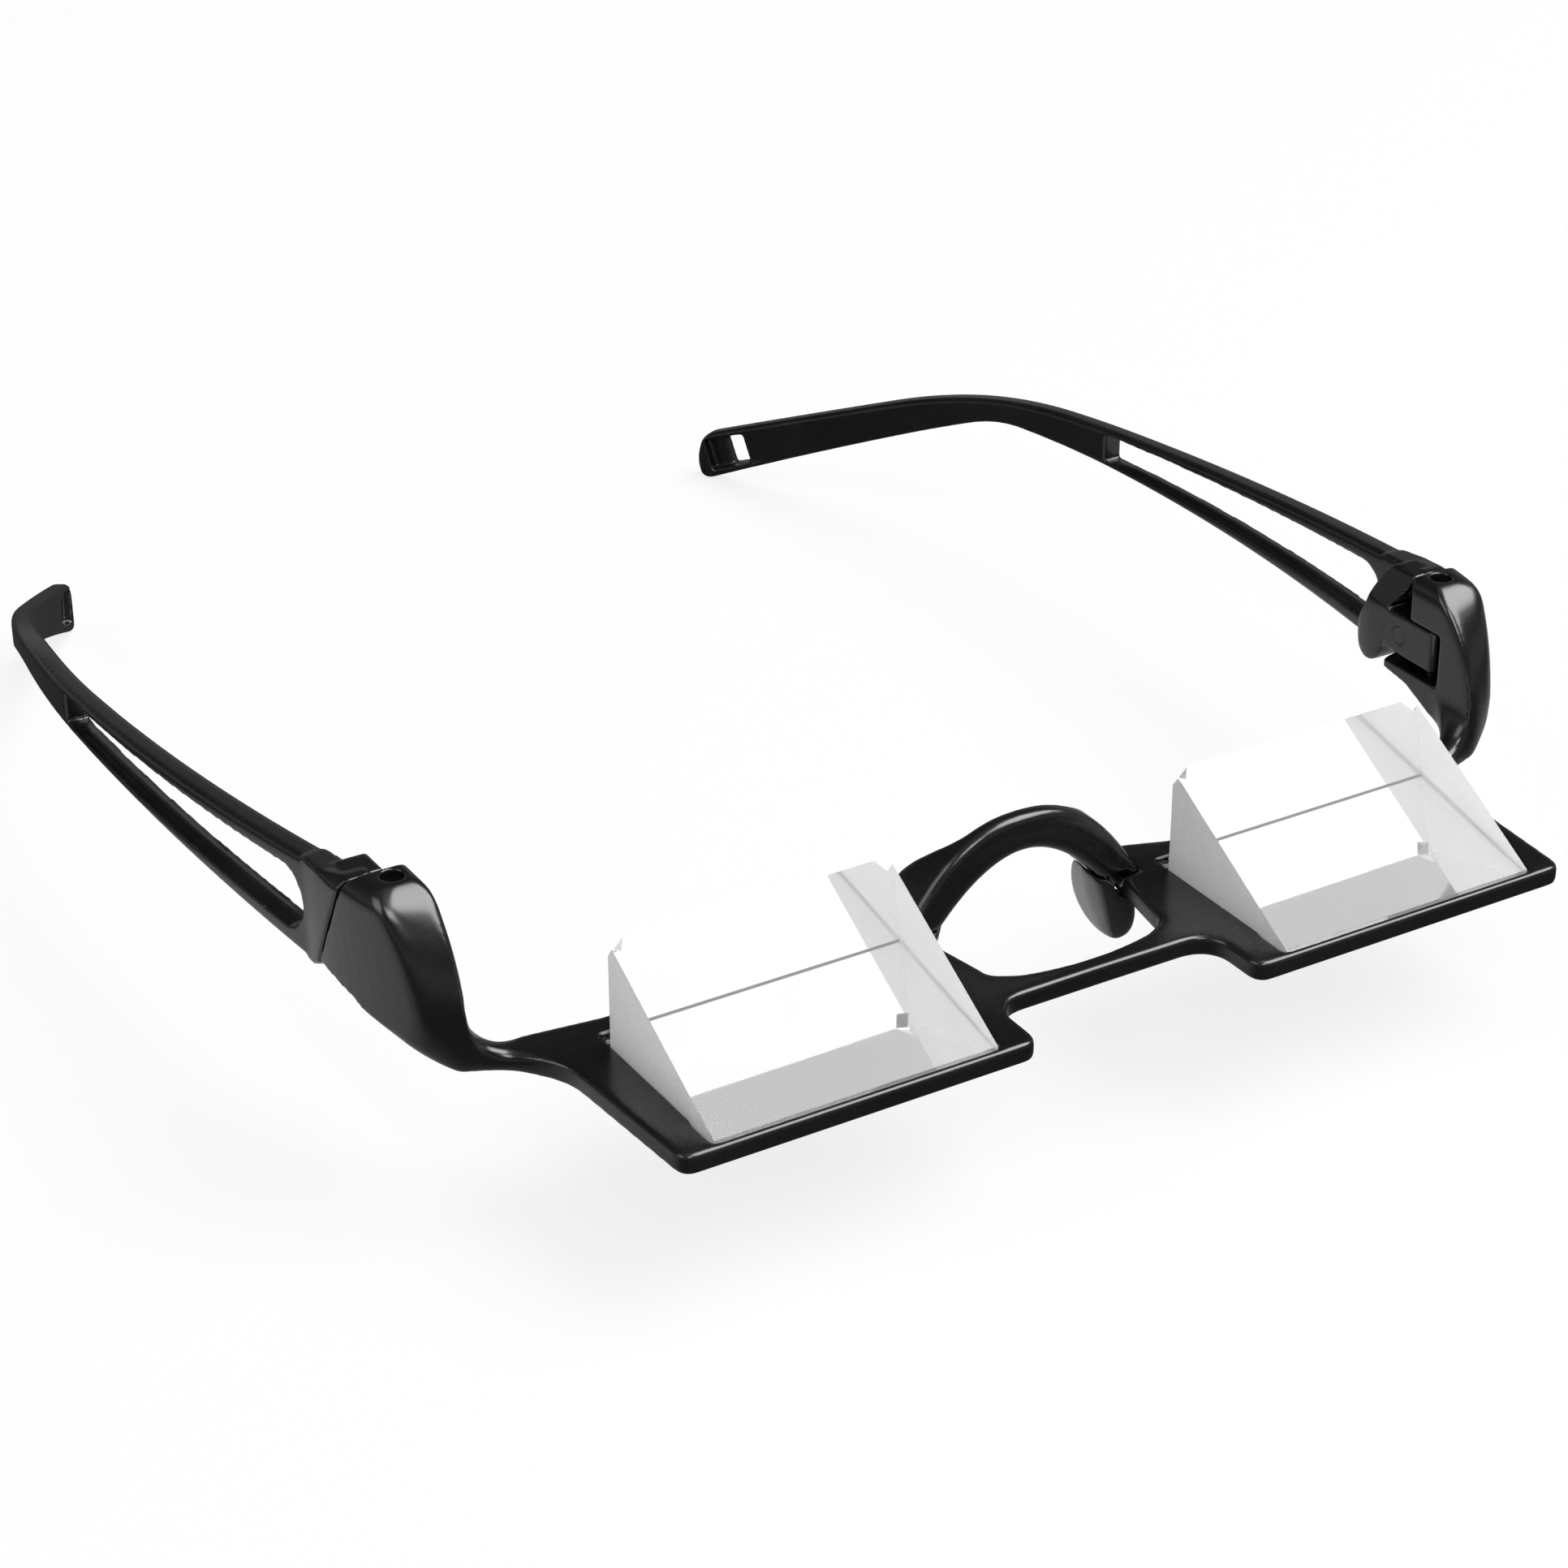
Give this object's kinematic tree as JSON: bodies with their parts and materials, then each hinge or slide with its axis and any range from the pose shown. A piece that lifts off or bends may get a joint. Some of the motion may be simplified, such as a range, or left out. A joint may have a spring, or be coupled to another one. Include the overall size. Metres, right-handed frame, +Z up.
{
  "type": "belay glasses",
  "caption": "Wide spectacle frame carrying wedge-shaped mirror prisms on a low shelf, with an arched nose saddle and folding temples slotted along their length.",
  "frame": {"origin": "middle of the bridge bar's underside, in the plane of the shelves' undersides", "axes": "+Z up, +X towards the wearer's left, +Y to the back along the temples, -Y forward"},
  "size_m": [0.1492, 0.1791, 0.0349],
  "materials": {
    "frame_black": "satin moulded black",
    "pad_plastic": "soft satin",
    "prism_glass": "polished clear",
    "silver_backing": "silvered",
    "screw_steel": "blackened steel"
  },
  "bodies": {
    "front": {"front_frame": "frame_black", "prism_left": "prism_glass", "prism_right": "prism_glass", "mirror_left": "silver_backing", "mirror_right": "silver_backing", "nose_saddle": "frame_black", "nose_pad_left": "pad_plastic", "nose_pad_right": "pad_plastic", "hinge_screw_left": "screw_steel", "hinge_screw_right": "screw_steel"},
    "temple_l": {"temple_left": "frame_black"},
    "temple_r": {"temple_right": "frame_black"}
  },
  "joints": [
    {"name": "hinge_left", "type": "hinge", "parent": "front", "child": "temple_l", "pos_m": [0.0672, 0.0272, 0], "axis": [0, 0, 1], "range_deg": [0, 88]},
    {"name": "hinge_right", "type": "hinge", "parent": "front", "child": "temple_r", "pos_m": [-0.0672, 0.0272, 0], "axis": [0, 0, 1], "range_deg": [-82, 0]}
  ]
}
